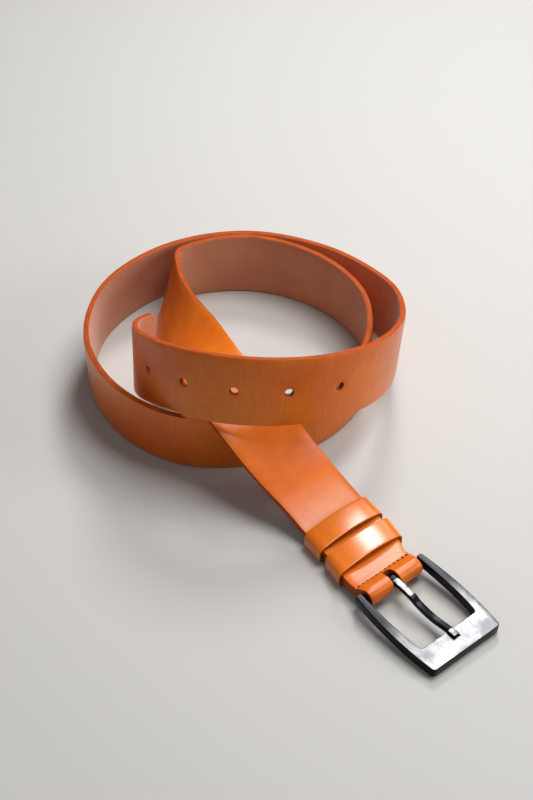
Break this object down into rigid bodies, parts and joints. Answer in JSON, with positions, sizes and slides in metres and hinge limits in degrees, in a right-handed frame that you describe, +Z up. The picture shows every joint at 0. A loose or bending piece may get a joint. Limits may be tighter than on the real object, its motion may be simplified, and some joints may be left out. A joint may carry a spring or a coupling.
{
  "type": "leather belt",
  "caption": "Smooth tan leather belt with a rectangular pin buckle, coiled twice with its buckle end lying out in front and the punched end curled on top.",
  "frame": {"origin": "centre of the bounding box at the level of the table it lies on", "axes": "+X to the right seen from the buckle end, +Y from the buckle end towards the back of the coil, +Z up"},
  "size_m": [0.2072, 0.2887, 0.0819],
  "materials": {
    "tan_leather": "smooth semi-gloss grain, brown flesh side, burnished orange edges",
    "satin_steel": "brushed satin top face with polished sides",
    "dark_steel": "polished dark nickel"
  },
  "bodies": {
    "belt": {"strap": "tan_leather", "keeper_near": "tan_leather", "keeper_far": "tan_leather"},
    "frame": {"buckle_frame": "satin_steel"},
    "prong": {"buckle_prong": "dark_steel"}
  },
  "joints": [
    {"name": "frame_turn", "type": "hinge", "parent": "belt", "child": "frame", "pos_m": [0.05448, -0.09151, 0.0066], "axis": [-0.766, -0.6428, 0], "range_deg": [-90, 45]},
    {"name": "prong_turn", "type": "hinge", "parent": "frame", "child": "prong", "pos_m": [0.05448, -0.09151, 0.0066], "axis": [-0.766, -0.6428, 0], "range_deg": [0, 45]}
  ]
}
